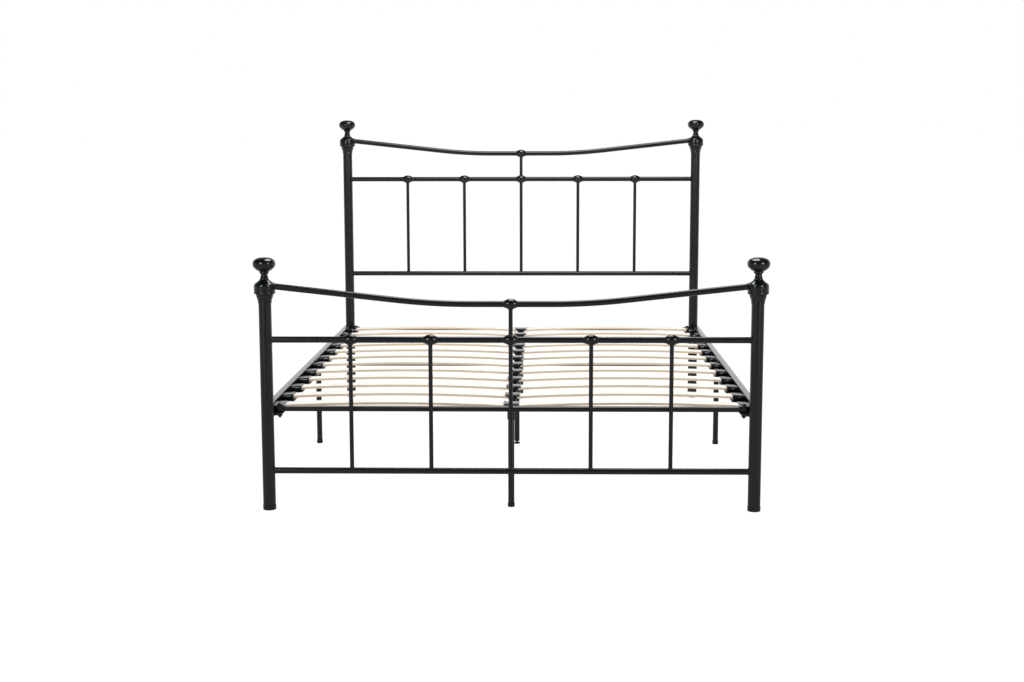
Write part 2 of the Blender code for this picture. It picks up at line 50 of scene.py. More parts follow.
POST_R = 0.019
RAIL_R = 0.0095
SPINDLE_R = 0.00635
LEG_R = 0.0095
MID_BAR_WIDTH = 0.020         # flat bar
MID_BAR_THICKNESS = 0.003
MID_LEG_X = 0.722             # axis of the legs under the mid bar's ends
END_BAR_WIDTH = 0.025
FERRULE_HEIGHT = 0.016
LUG_THICKNESS = 0.006         # plate on the post under the side rail's end
SOCKET_BLOCK = 0.024          # depth and length of the block at the centre rail's ends
JOINT_PLATE_HALF = 0.044      # half the side joint plate's length
JOINT_PLATE_THICKNESS = 0.003
JOINT_BOLT_Y = 0.026
HOLDER_HALF = 0.030           # half a slat holder's width along the rail
SLAT_PLAY = 0.0004            # between a slat's edge and its holder
SHARP_DEGREES = 38
CAP_R = 0.0108                # plastic caps on the legs
GAP = 0.0003                  # clearance between pieces that touch
SOCKET_DEPTH = 0.005          # how far a tube enters the piece that it is welded to
LIP_TO_SEAT = 0.038           # corner casting, from its lip to the finial's seat
BOTTOM_RAIL_DROP = 0.398      # bottom rail below the middle rail
TOP_RAIL_FLAT = 0.12          # half the level stretch at the top rail's middle
TOP_RAIL_BEND = 0.34          # where its curve ends and its straight slope starts
TOP_RAIL_SLOPE = 0.1105
TOP_RAIL_RISE = 0.1070        # lowest point of the top rail above the middle rail
LIP_RISE = 0.1408             # lip of the corner casting above the middle rail
KNUCKLE_R = 0.016
KNOB_FULLNESS = 2 / 2.4       # below 1 the ball's crown is fuller than an ellipse
END_BARS = {                  # underside above the shelf, bar height, bracket height
    "foot": (0.0012, 0.0140, 0.0200),
    "head": (GAP, 0.0090, 0.0135),
}
ANGLE_WALL = 0.0025
ANGLE_LIP = 0.0175            # top flange, outwards from the side rail's upright leg
SLAT_WIDTH = 0.053
SLAT_THICKNESS = 0.008
SLAT_CROWN = 0.010
ROWS = 12


# ---------------------------------------------------------------- mesh helpers
def skin(bm, rings, closed=False):
    """Faces between rings of vertices, with caps on the two ends unless the rings close on themselves.
    A ring of one vertex is a pole."""
    pairs = list(zip(rings, rings[1:]))
    if closed:
        pairs.append((rings[-1], rings[0]))
    for first, second in pairs:
        count = max(len(first), len(second))
        for i in range(count):
            j = (i + 1) % count
            corners = [first[i % len(first)], first[j % len(first)],
                       second[j % len(second)], second[i % len(second)]]
            bm.faces.new(list(dict.fromkeys(corners)))
    if not closed:
        for end in (rings[0], rings[-1]):
            if len(end) > 2:
                bm.faces.new(end)


def turned(bm, profile, sides, place=Matrix()):
    """A solid turned about Z from (radius, height) points, then placed."""
    rings = []
    for radius, height in profile:
        if radius == 0:
            rings.append([bm.verts.new(place @ Vector((0, 0, height)))])
            continue
        turns = [2 * math.pi * i / sides for i in range(sides)]
        rings.append([bm.verts.new(place @ Vector((radius * math.cos(a), radius * math.sin(a), height)))
                      for a in turns])
    skin(bm, rings)


def swept(bm, path, outline, across, scales=None, closed=False):
    """A solid swept along a path. The outline's points are (across, up), where up is square to both
    the path and the across direction."""
    rings = []
    count = len(path)
    for i, point in enumerate(path):
        before = path[(i - 1) % count] if closed else path[max(i - 1, 0)]
        after = path[(i + 1) % count] if closed else path[min(i + 1, count - 1)]
        along = (after - before).normalized()
        up = along.cross(across).normalized()
        side = up.cross(along).normalized()
        scale = scales[i] if scales else 1.0
        rings.append([bm.verts.new(point + scale * (a * side + b * up)) for a, b in outline])
    skin(bm, rings, closed)


def circle(radius, sides):
    return [(radius * math.cos(2 * math.pi * i / sides), radius * math.sin(2 * math.pi * i / sides))
            for i in range(sides)]


def filleted(corners, steps=4):
    """An outline from (a, b, fillet radius) corners."""
    points = []
    for i, (a, b, radius) in enumerate(corners):
        here = Vector((a, b))
        if radius == 0:
            points.append((a, b))
            continue
        before = (Vector(corners[i - 1][:2]) - here).normalized()
        after = (Vector(corners[(i + 1) % len(corners)][:2]) - here).normalized()
        half = before.angle(after) / 2
        centre = here + (before + after).normalized() * radius / math.sin(half)
        start = here + before * radius / math.tan(half) - centre
        end = here + after * radius / math.tan(half) - centre
        turn = start.angle_signed(end)
        for k in range(steps + 1):
            spoke = start.copy()
            spoke.rotate(Matrix.Rotation(-turn * k / steps, 2))
            points.append(tuple(centre + spoke))
    return points


def box_outline(low, high, radius, steps=4):
    """A rectangle from its low and high (a, b) corners, with equal fillets."""
    return filleted([(low[0], low[1], radius), (high[0], low[1], radius),
                     (high[0], high[1], radius), (low[0], high[1], radius)], steps)


def smooth_profile(points, steps=4):
    """A Catmull-Rom curve through (radius, height) points."""
    dense = []
    for i in range(len(points) - 1):
        p0, p1 = Vector(points[max(i - 1, 0)]), Vector(points[i])
        p2, p3 = Vector(points[i + 1]), Vector(points[min(i + 2, len(points) - 1)])
        for k in range(steps):
            t = k / steps
            dense.append(tuple(0.5 * (2 * p1 + (p2 - p0) * t + (2 * p0 - 5 * p1 + 4 * p2 - p3) * t ** 2
                                      + (3 * p1 - p0 - 3 * p2 + p3) * t ** 3)))
    return dense + [points[-1]]


def rounded_block(bm, low, high, radius, segments=3):
    """A box with every edge rounded."""
    made = bmesh.ops.create_cube(bm, size=1.0)
    for vert in made["verts"]:
        vert.co = [lo + (c + 0.5) * (hi - lo) for c, lo, hi in zip(vert.co, low, high)]
    edges = list({edge for vert in made["verts"] for edge in vert.link_edges})
    bmesh.ops.bevel(bm, geom=edges, offset=radius, segments=segments, profile=0.5, affect="EDGES",
                    clamp_overlap=True)


def mirrored(x_side, y_side, low, high):
    """A box given for +X and +Y, moved to the stated sides."""
    xs = sorted((x_side * low[0], x_side * high[0]))
    ys = sorted((y_side * low[1], y_side * high[1]))
    return (xs[0], ys[0], low[2]), (xs[1], ys[1], high[2])


def mesh_from(name, bm):
    bmesh.ops.recalc_face_normals(bm, faces=bm.faces)
    mesh = bpy.data.meshes.new(name)
    bm.to_mesh(mesh)
    bm.free()
    mesh.shade_smooth()
    mesh.set_sharp_from_angle(angle=math.radians(SHARP_DEGREES))
    return mesh


def combined(name, body, tools):
    """A mesh with each tool mesh united with it or cut from it, given as (operation, bmesh)."""
    target = bpy.data.objects.new(name, mesh_from(name, body))
    bpy.context.scene.collection.objects.link(target)
    helpers = []
    for operation, bm in tools:
        helper = bpy.data.objects.new(f"{name}_tool", mesh_from(f"{name}_tool", bm))
        bpy.context.scene.collection.objects.link(helper)
        helpers.append(helper)
        modifier = target.modifiers.new(operation, "BOOLEAN")
        modifier.operation = operation
        modifier.solver = "EXACT"
        modifier.object = helper
    evaluated = target.evaluated_get(bpy.context.evaluated_depsgraph_get())
    result = bpy.data.meshes.new_from_object(evaluated)
    result.name = name
    for thing in [target] + helpers:
        bpy.data.objects.remove(thing, do_unlink=True)
    result.shade_smooth()
    result.set_sharp_from_angle(angle=math.radians(SHARP_DEGREES))
    return result


def add_piece(name, shape, finish, nodes=(), body="frame", location=(0, 0, 0), bevel=0.0):
    """Adds a piece from a bmesh or a mesh, with its finish, its body and the nodes it stands for."""
    mesh = shape if isinstance(shape, bpy.types.Mesh) else mesh_from(name, shape)
    if not mesh.materials:
        mesh.materials.append(FINISHES[finish])
    piece = bpy.data.objects.new(name, mesh)
    bpy.context.scene.collection.objects.link(piece)
    piece.location = location
    if bevel:
        modifier = piece.modifiers.new("Bevel", "BEVEL")
        modifier.width = bevel
        modifier.segments = 2
        modifier.limit_method = "ANGLE"
        modifier.angle_limit = math.radians(40)
        modifier.harden_normals = True
    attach(piece, body)
    if nodes:
        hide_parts(*nodes)
    return piece


# ---------------------------------------------------------------- finishes
class Nodes:
    """A short way to write a material's node tree."""

    def __init__(self, name):
        self.material = bpy.data.materials.new(name)
        self.material.use_nodes = True
        self.tree = self.material.node_tree
        self.shader = self.tree.nodes["Principled BSDF"]
        self.place = self.add("ShaderNodeTexCoord").outputs["Object"]

    def add(self, kind, **inputs):
        node = self.tree.nodes.new(kind)
        for key, value in inputs.items():
            self.feed(node.inputs[key.replace("_", " ")], value)
        return node

    def feed(self, socket, value):
        if isinstance(value, bpy.types.NodeSocket):
            self.tree.links.new(value, socket)
        else:
            socket.default_value = value

    def noise(self, scale, detail=2.0, roughness=0.5, stretch=None):
        place = self.place
        if stretch:
            mapping = self.add("ShaderNodeMapping", Vector=place)
            mapping.inputs["Scale"].default_value = stretch
            place = mapping.outputs[0]
        return self.add("ShaderNodeTexNoise", Vector=place, Scale=scale, Detail=detail,
                        Roughness=roughness).outputs[0]

    def ramp(self, value, stops):
        node = self.add("ShaderNodeValToRGB", Fac=value)
        elements = node.color_ramp.elements
        while len(elements) < len(stops):
            elements.new(0.5)
        for element, (position, colour) in zip(elements, stops):
            element.position = position
            element.color = colour if len(colour) == 4 else (*colour, 1.0)
        return node.outputs["Color"]

    def grey(self, value, low, high):
        """A value from 0 to 1 moved to a range."""
        node = self.add("ShaderNodeMapRange", Value=value)
        node.inputs["To Min"].default_value = low
        node.inputs["To Max"].default_value = high
        return node.outputs[0]

    def mix(self, factor, first, second, blend="MIX"):
        node = self.tree.nodes.new("ShaderNodeMix")
        node.data_type = "RGBA"
        node.blend_type = blend
        self.feed(node.inputs[0], factor)
        self.feed(node.inputs[6], first)
        self.feed(node.inputs[7], second)
        return node.outputs[2]

    def bump(self, height, strength, distance, below=None):
        node = self.add("ShaderNodeBump", Height=height, Strength=strength, Distance=distance)
        if below:
            self.tree.links.new(below, node.inputs["Normal"])
        return node.outputs[0]

    def finish(self, colour, roughness, normal, ior=1.5):
        self.feed(self.shader.inputs["Base Color"], colour)
        self.feed(self.shader.inputs["Roughness"], roughness)
        self.feed(self.shader.inputs["Normal"], normal)
        self.shader.inputs["IOR"].default_value = ior
        return self.material


def powder_coat(name, smoothest, roughest):
    """Black powder coat: fine orange peel and slight tone drift."""
    n = Nodes(name)
    colour = n.ramp(n.noise(9.0, 3.0), [(0.3, (0.0034, 0.0052, 0.0066)), (0.7, (0.0044, 0.0064, 0.0080))])
    roughness = n.grey(n.noise(140.0, 3.0), smoothest, roughest)
    wave = n.bump(n.noise(160.0, 1.0), 0.012, 0.0006)
    peel = n.bump(n.noise(900.0, 2.0), 0.025, 0.00012, wave)
    return n.finish(colour, roughness, peel, 1.48)


def gloss_casting_paint():
    """Thick gloss black over a casting: soft unevenness, sharp reflections."""
    n = Nodes("gloss_casting_paint")
    colour = n.ramp(n.noise(20.0, 2.0), [(0.3, (0.0028, 0.0044, 0.0058)), (0.7, (0.0038, 0.0054, 0.0070))])
    roughness = n.grey(n.noise(220.0, 2.0), 0.10, 0.17)
    lumps = n.bump(n.noise(75.0, 1.0), 0.12, 0.0010)
    grain = n.bump(n.noise(650.0, 2.0), 0.08, 0.00010, lumps)
    return n.finish(colour, roughness, grain, 1.52)


def moulded_plastic():
    """Black moulded plastic with a fine spark-eroded grain."""
    n = Nodes("moulded_plastic")
    colour = n.ramp(n.noise(60.0, 2.0), [(0.3, (0.0030, 0.0033, 0.0037)), (0.7, (0.0044, 0.0048, 0.0052))])
    roughness = n.grey(n.noise(300.0, 2.0), 0.10, 0.16)
    grain = n.bump(n.noise(1500.0, 3.0), 0.035, 0.00008)
    return n.finish(colour, roughness, grain, 1.46)


def birch_plywood():
    """Clear-sealed birch: cream faces with long grain, tan plies on the edges."""
    n = Nodes("birch_plywood")
    warp = n.noise(6.0, 2.0, 0.5, (1.0, 6.0, 1.0))
    grain = n.noise(30.0, 5.0, 0.62, (0.35, 12.0, 3.0))
    fine = n.noise(220.0, 3.0, 0.6, (0.08, 3.0, 1.0))
    face = n.ramp(grain, [(0.28, (0.800, 0.740, 0.660)), (0.50, (0.850, 0.805, 0.745)),
                          (0.75, (0.875, 0.840, 0.790))])
    face = n.mix(n.grey(warp, 0.0, 0.35), face, (0.885, 0.855, 0.810, 1.0))
    face = n.mix(n.grey(fine, 0.0, 0.26), face, (0.760, 0.680, 0.580, 1.0))
    layer = n.add("ShaderNodeAttribute")
    layer.attribute_name = "ply"
    veneers = [(0.02, 0), (0.10, 1), (0.20, 1), (0.24, 0), (0.36, 0), (0.40, 1), (0.56, 1), (0.60, 0),
               (0.72, 0), (0.76, 1), (0.90, 1), (0.98, 0)]
    tones = ((0.640, 0.525, 0.400), (0.500, 0.385, 0.270))
    plies = n.ramp(layer.outputs["Fac"], [(at, tones[tone]) for at, tone in veneers])
    fibres = n.noise(90.0, 4.0, 0.6, (0.2, 1.0, 4.0))
    plies = n.mix(n.grey(fibres, 0.0, 0.5), plies, (0.700, 0.600, 0.480, 1.0))
    edge = n.ramp(layer.outputs["Fac"], [(0.015, (0, 0, 0)), (0.07, (1, 1, 1)),
                                         (0.93, (1, 1, 1)), (0.985, (0, 0, 0))])
    colour = n.mix(edge, face, plies)
    roughness = n.grey(grain, 0.58, 0.44)
    relief = n.bump(fine, 0.16, 0.00025, n.bump(grain, 0.10, 0.0003))
    return n.finish(colour, roughness, relief, 1.45)


FINISHES = {
    "frame_paint": powder_coat("satin_powder_coat", 0.20, 0.27),
    "casting_paint": gloss_casting_paint(),
    "black_plastic": moulded_plastic(),
    "birch": birch_plywood(),
}
ROLLED_COAT = powder_coat("smooth_powder_coat", 0.08, 0.13)   # flows out flatter on rolled angle


# ---------------------------------------------------------------- end panels
TUBE_SIDES = 40
POST_SIDES = 56
CASTING_SIDES = 72


def weld_bead(bm, base, main_axis, main_radius, branch, branch_radius, bead=0.0013, ripples=26):
    """A rippled bead where a round branch meets a round main tube. base is on the main tube's axis."""
    second = branch.cross(main_axis)
    path = []
    steps = 78
    for i in range(steps):
        turn = 2 * math.pi * i / steps
        across = branch_radius * math.sin(turn)
        rise = math.sqrt(main_radius ** 2 - across ** 2)
        path.append(base + branch * rise + branch_radius * math.cos(turn) * main_axis + across * second)
    scales = [1 + 0.14 * math.sin(ripples * 2 * math.pi * i / steps) + 0.10 * noise.noise(point * 300)
              for i, point in enumerate(path)]
    swept(bm, path, circle(bead, 8), branch, scales, closed=True)


def corner_casting_profile(lip):
    """Cup, thin lip disc, dome and finial seat."""
    cup = smooth_profile([(0.0196, -0.0312), (0.0209, -0.0303), (0.0212, -0.0290), (0.0206, -0.0278),
                          (0.0204, -0.0266), (0.0217, -0.0205), (0.0244, -0.0131), (0.0262, -0.0048)], 3)
    disc = smooth_profile([(0.0290, -0.0034), (0.0311, -0.0031), (0.0319, -0.0010), (0.0318, 0.0010),
                           (0.0313, 0.0019)], 3)
    dome = smooth_profile([(0.0312, 0.0025), (0.0317, 0.0080), (0.0317, 0.0140), (0.0315, 0.0195),
                           (0.0309, 0.0236), (0.0294, 0.0264), (0.0258, 0.0292), (0.0216, 0.0322),
                           (0.0178, 0.0352), (0.0162, 0.0367)], 4)
    seat = [(0.0157, 0.0372), (0.0154, LIP_TO_SEAT), (0.0045, LIP_TO_SEAT),
            (0.0043, 0.0375), (0.0043, 0.0230), (0, 0.0230)]
    start = [(0, -0.0312)]
    return [(radius, lip + height) for radius, height in start + cup + disc + dome + seat]


def finial_profile(lip):
    """Stud, two beads, neck, collar and flattened ball."""
    seat = LIP_TO_SEAT + GAP
    stud = [(0, 0.0243), (0.0036, 0.0243), (0.0040, 0.0248), (0.0040, seat)]
    beads = smooth_profile([(0.0130, seat), (0.0138, 0.0391), (0.0140, 0.0402), (0.0133, 0.0418),
                            (0.0117, 0.0430), (0.0113, 0.0438), (0.0118, 0.0448), (0.0122, 0.0462),
                            (0.0119, 0.0476), (0.0110, 0.0488), (0.0103, 0.0503), (0.0100, 0.0522),
                            (0.0103, 0.0542), (0.0114, 0.0564), (0.0128, 0.0580)], 3)
    ring = smooth_profile([(0.0138, 0.0586), (0.0144, 0.0597), (0.0145, 0.0609), (0.0140, 0.0621)], 3)
    ball = smooth_profile([(0.0143, 0.0627), (0.0178, 0.0645), (0.0228, 0.0680), (0.0272, 0.0716),
                           (0.0307, 0.0754), (0.0329, 0.0798), (0.0339, 0.0850)], 3)
    crown = [(0.0339 * math.cos(a) ** KNOB_FULLNESS, 0.0850 + 0.0202 * math.sin(a) ** KNOB_FULLNESS)
             for a in (math.pi / 2 * k / 18 for k in range(1, 18))]
    return [(r, lip + h) for r, h in stud + beads + ring + ball + crown + [(0, 0.1052)]]


def knuckle_mesh(name, above):
    """A cast ball over a rail along X, with end rings and a bowl onto the spindle below, and one above
    where the spindle runs through."""
    edge = 0.86
    ball = [(KNUCKLE_R * math.cos(a), 0.0228 * math.sin(a))
            for a in (edge * (2 * k / 22 - 1) for k in range(23))]
    end = ball[-1]
    ring = [(end[0] - 0.0001, end[1] + 0.0003), (0.0110, end[1] + 0.0006), (0.0111, end[1] + 0.0016),
            (0.0106, end[1] + 0.0026), (0.0097, end[1] + 0.0030)]
    profile = [(0, -ring[-1][1])] + [(r, -x) for r, x in reversed(ring)] + ball + ring + [(0, ring[-1][1])]
    body = bmesh.new()
    turned(body, profile, 48, Matrix.Rotation(math.pi / 2, 4, "Y"))
    bowl = [(0, -0.0080), (0.0088, -0.0138), (0.0080, -0.0156), (0.0077, -0.0165), (0.0069, -0.0169),
            (0, -0.0169)]
    tools = []
    for turn in ([math.pi, 0.0] if above else [0.0]):
        tool = bmesh.new()
        turned(tool, bowl, 32, Matrix.Rotation(turn, 4, "X"))
        tools.append(("UNION", tool))
    return combined(name, body, tools)


def top_rail_path(panel, lowest):
    """The drooping rail's axis, as points from its left to its right end."""
    flat, bend, slope = TOP_RAIL_FLAT, TOP_RAIL_BEND, TOP_RAIL_SLOPE
    radius = (bend - flat) / slope
    low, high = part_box(f"{panel}_top_rail")
    y = (low.y + high.y) / 2
    half = high.x
    right = [flat * k / 4 for k in range(5)] + [flat + (bend - flat) * k / 16 for k in range(1, 17)]
    right += [bend + (half - bend) * k / 8 for k in range(1, 9)]

    def height(x):
        if x <= flat:
            return 0.0
        if x <= bend:
            return (x - flat) ** 2 / (2 * radius)
        return (bend - flat) * slope / 2 + (x - bend) * slope

    points = [Vector((x, y, lowest + height(x))) for x in right]
    return [Vector((-p.x, p.y, p.z)) for p in reversed(points[1:])] + points


def straight_tube(bm, start, end, radius, sides, across, chamfer=0.0006):
    """A round tube with slightly broken ends."""
    along = (end - start).normalized()
    path = [start, start + along * chamfer, end - along * chamfer, end]
    shrink = 1 - chamfer / radius
    swept(bm, path, circle(radius, sides), across, [shrink, 1, 1, shrink])


def make_panel(panel):
    low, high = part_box(f"{panel}_middle_rail")
    middle = high.z - KNUCKLE_R
    y = (low.y + high.y) / 2
    rail_end = high.x
    lip = middle + LIP_RISE
    bottom = middle - BOTTOM_RAIL_DROP
    inward_y = -math.copysign(1, y)
    top_path = top_rail_path(panel, middle + TOP_RAIL_RISE)

    for side, x_side in SIDES.items():
        finial_low, finial_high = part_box(f"{panel}_finial_{side}")
        axis = Vector(((finial_low.x + finial_high.x) / 2, y, 0))
        place = Matrix.Translation(axis)

        bm = bmesh.new()
        turned(bm, [(0, 0.0150), (POST_R - 0.0008, 0.0150), (POST_R, 0.0158), (POST_R, lip - 0.0300),
                    (POST_R - 0.0010, lip - 0.0290), (0, lip - 0.0290)], POST_SIDES, place)
        add_piece(f"{panel}_post_tube_{side}", bm, "frame_paint", [f"{panel}_post_{side}"])

        bm = bmesh.new()
        turned(bm, [(0, 0)] + smooth_profile([(0.0176, 0), (0.0189, 0.0004), (0.0196, 0.0016),
                                              (0.0198, 0.0060), (0.0198, 0.0140), (0.0195, 0.0154),
                                              (0.0190, FERRULE_HEIGHT)], 3) + [(0, FERRULE_HEIGHT)],
               POST_SIDES, place)
        add_piece(f"{panel}_ferrule_{side}", bm, "black_plastic")

        body = bmesh.new()
        turned(body, corner_casting_profile(lip), CASTING_SIDES, place)
        rail_point = top_path[0 if x_side < 0 else -1]
        along = (rail_point - top_path[1 if x_side < 0 else -2]).normalized()
        boss_start = rail_point - along * 0.0190
        turn = Z_AXIS.rotation_difference(along).to_matrix().to_4x4()
        boss = bmesh.new()
        turned(boss, [(0, 0), (0.0101, 0), (0.0107, 0.0004), (0.0110, 0.0014), (0.0115, 0.0045),
                      (0.0117, 0.0150), (0, 0.0150)], 40,
               Matrix.Translation(boss_start) @ turn)
        mesh = combined(f"{panel}_corner_casting_{side}", body, [("UNION", boss)])
        add_piece(f"{panel}_corner_casting_{side}", mesh, "casting_paint")

        bm = bmesh.new()
        turned(bm, finial_profile(lip), CASTING_SIDES, place)
        add_piece(f"{panel}_ball_finial_{side}", bm, "casting_paint", [f"{panel}_finial_{side}"])

        make_corner_lug(panel, side, axis, x_side, inward_y)

    bm = bmesh.new()
    swept(bm, top_path, circle(RAIL_R, TUBE_SIDES), Y_AXIS)
    add_piece(f"{panel}_top_tube", bm, "frame_paint", [f"{panel}_top_rail"])
    for part, height in (("middle", middle), ("bottom", bottom)):
        bm = bmesh.new()
        straight_tube(bm, Vector((-rail_end, y, height)), Vector((rail_end, y, height)), RAIL_R,
                      TUBE_SIDES, Y_AXIS)
        add_piece(f"{panel}_{part}_tube", bm, "frame_paint", [f"{panel}_{part}_rail"])

    knuckles = {above: knuckle_mesh(f"{panel}_knuckle_{'through' if above else 'end'}", above)
                for above in (False, True)}
    add_piece(f"{panel}_top_knuckle", knuckles[False], "casting_paint",
              location=(0, y, middle + TOP_RAIL_RISE))
    for i in range(1, 6):
        low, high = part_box(f"{panel}_spindle_{i}")
        x = (low.x + high.x) / 2
        add_piece(f"{panel}_knuckle_{i}", knuckles[i == 3], "casting_paint", location=(x, y, middle))
        bm = bmesh.new()
        straight_tube(bm, Vector((x, y, low.z)), Vector((x, y, high.z)), SPINDLE_R, 32, X_AXIS)
        add_piece(f"{panel}_rod_{i}", bm, "frame_paint", [f"{panel}_spindle_{i}"])

    bm = bmesh.new()
    post_x = rail_end + POST_R - SOCKET_DEPTH
    for x_side in (-1, 1):
        for height in (middle, bottom):
            weld_bead(bm, Vector((x_side * post_x, y, height)), Z_AXIS, POST_R, -x_side * X_AXIS, RAIL_R)
    for i in range(1, 6):
        x = sum(corner.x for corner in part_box(f"{panel}_spindle_{i}")) / 2
        weld_bead(bm, Vector((x, y, bottom)), X_AXIS, RAIL_R, Z_AXIS, SPINDLE_R, 0.0010, 20)
    add_piece(f"{panel}_welds", bm, "frame_paint")


# ---------------------------------------------------------------- base
RAIL_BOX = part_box("side_rail_right_foot")
ANGLE_BOTTOM = RAIL_BOX[0].z
ANGLE_TOP = RAIL_BOX[1].z
ANGLE_OUTER = RAIL_BOX[1].x - ANGLE_LIP
ANGLE_EDGE = RAIL_BOX[0].x
ANGLE_INNER = ANGLE_OUTER - ANGLE_WALL
SEAT = ANGLE_BOTTOM + ANGLE_WALL
ROW_Y = [sum(corner.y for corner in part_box(f"slat_left_{row:02d}")) / 2 for row in range(1, ROWS + 1)]
BAR_Y = {end: (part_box(f"{end}_centre_leg")[0].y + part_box(f"{end}_centre_leg")[1].y) / 2 for end in ENDS}


def hex_outline(across_flats):
    corner = across_flats / math.sqrt(3)
    return [(corner * math.cos(math.pi / 3 * k), corner * math.sin(math.pi / 3 * k)) for k in range(6)]


def prism(bm, outline, low, high, place=Matrix(), chamfer=0.0004):
    """An outline carried up Z with chamfered rims, then placed."""
    size = max(math.hypot(a, b) for a, b in outline)
    shrink = 1 - chamfer / size
    rings = []
    for height, scale in ((low, shrink), (low + chamfer, 1), (high - chamfer, 1), (high, shrink)):
        rings.append([bm.verts.new(place @ Vector((a * scale, b * scale, height))) for a, b in outline])
    skin(bm, rings)


def threaded_rod(bm, radius, low, high, pitch, place=Matrix(), sides=20):
    """A rod with a V thread's ridges."""
    profile = [(0, low), (radius * 0.72, low)]
    turns = int((high - low) / pitch)
    for k in range(turns):
        profile += [(radius * 0.84, low + pitch * (k + 0.08)), (radius, low + pitch * (k + 0.5))]
    profile += [(radius * 0.84, high), (0, high)]
    turned(bm, profile, sides, place)


def bolt_mesh(bm, head_radius, head_height, place, washer=0.0, socket=0.0028):
    """A button head with a hexagon socket on an optional washer; the head's underside is at Z = 0."""
    if washer:
        turned(bm, [(0, 0), (washer - 0.0003, 0), (washer, 0.0003), (washer, 0.0011),
                    (washer - 0.0003, 0.0014), (0, 0.0014)], 36, place)
    base = 0.0013 if washer else 0.0
    dome = [(head_radius * math.cos(a), base + head_height * (0.25 + 0.75 * math.sin(a)))
            for a in (math.pi / 2 * k / 7 for k in range(6))]
    rim = [(0, base), (head_radius - 0.0002, base), (head_radius, base + 0.0002)]
    floor = base + head_height * 0.45
    top = dome[-1][1]
    turned(bm, rim + dome + [(socket, top), (socket, floor), (0, floor)], 36, place)


def make_corner_lug(panel, side, axis, x_side, inward_y):
    """The plate welded to a post's base height that carries the side rail's end."""
    top = ANGLE_BOTTOM - GAP
    under = top - LUG_THICKNESS
    edge = 0.0006
    centre = Vector((0.012, 0.034))
    outline = filleted([(-0.0140, 0.0060, 0.002), (-0.0145, 0.0615, 0.004), (0.0360, 0.0615, 0.008),
                        (0.0395, 0.0380, 0.006), (0.0150, 0.0060, 0.002)], 5)
    bm = bmesh.new()
    rings = []
    for z, inset in ((under, edge), (under + edge, 0), (top - edge, 0), (top, edge)):
        ring = []
        for a, b in outline:
            spot = Vector((a, b))
            spot -= (spot - centre).normalized() * inset
            ring.append(bm.verts.new((axis.x - x_side * spot[0], axis.y + inward_y * spot[1], z)))
        rings.append(ring)
    skin(bm, rings)
    steps = 40
    reach = POST_R + 0.0004
    path = []
    for i in range(steps):
        turn = math.pi * (0.10 + 0.80 * i / (steps - 1))
        path.append(Vector((axis.x + reach * math.cos(turn),
                            axis.y + inward_y * reach * math.sin(turn), under)))
    path = [p for p in path if -0.0150 <= -x_side * (p.x - axis.x) <= 0.0170]
    scales = [1 + 0.18 * math.sin(i * 1.9) for i in range(len(path))]
    scales[0] = scales[-1] = 0.4
    swept(bm, path, circle(0.0018, 8), Z_AXIS, scales)
    add_piece(f"{panel}_corner_lug_{side}", bm, "frame_paint")


def angle_outline():
    """Section of the right-hand side rail, as (x, z)."""
    lip_edge = ANGLE_OUTER + ANGLE_LIP
    lip_bottom = ANGLE_TOP - ANGLE_WALL
    return filleted([(ANGLE_EDGE, ANGLE_BOTTOM, 0.0006), (ANGLE_OUTER, ANGLE_BOTTOM, 0.0028),
                     (ANGLE_OUTER, lip_bottom, 0.0008), (lip_edge, lip_bottom, 0.0006),
                     (lip_edge, ANGLE_TOP, 0.0009), (ANGLE_INNER, ANGLE_TOP, 0.0014),
                     (ANGLE_INNER, SEAT, 0.0014), (ANGLE_EDGE, SEAT, 0.0006)], 4)


def make_side_rails():
    outline = angle_outline()
    for side, x_side in SIDES.items():
        for end in ENDS:
            node = f"side_rail_{side}_{end}"
            low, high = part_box(node)
            bm = bmesh.new()
            rings = [[bm.verts.new((x_side * x, y, z)) for x, z in outline] for y in (low.y, high.y)]
            skin(bm, rings)
            angle = mesh_from(f"{node}_angle", bm)
            angle.materials.append(ROLLED_COAT)
            add_piece(f"{node}_angle", angle, "frame_paint", [node], bevel=0.0003)
        make_side_joint(side, x_side)


def make_side_joint(side, x_side):
    """Plate, bolts and nuts that join a side rail's two halves at mid length."""
    bm = bmesh.new()
    inner = ANGLE_INNER - GAP
    margin = 0.0020
    low, high = mirrored(x_side, 1, (inner - JOINT_PLATE_THICKNESS, -JOINT_PLATE_HALF, SEAT + margin),
                         (inner, JOINT_PLATE_HALF, ANGLE_TOP - margin))
    rounded_block(bm, low, high, 0.0010, 2)
    add_piece(f"joint_plate_{side}", bm, "frame_paint")
    bm = bmesh.new()
    height = (SEAT + ANGLE_TOP) / 2
    outward = Matrix.Rotation(x_side * math.pi / 2, 4, "Y")
    for y in (-JOINT_BOLT_Y, JOINT_BOLT_Y):
        place = Matrix.Translation((x_side * (ANGLE_OUTER + 0.0001), y, height)) @ outward
        bolt_mesh(bm, 0.0054, 0.0034, place)
        depth = 0.0001 + ANGLE_WALL + GAP + JOINT_PLATE_THICKNESS
        prism(bm, hex_outline(0.0100), -depth - 0.0050, -depth - 0.0001, place)
        threaded_rod(bm, 0.0030, -depth - 0.0085, -0.0001, 0.0010, place)
    add_piece(f"joint_bolts_{side}", bm, "casting_paint")


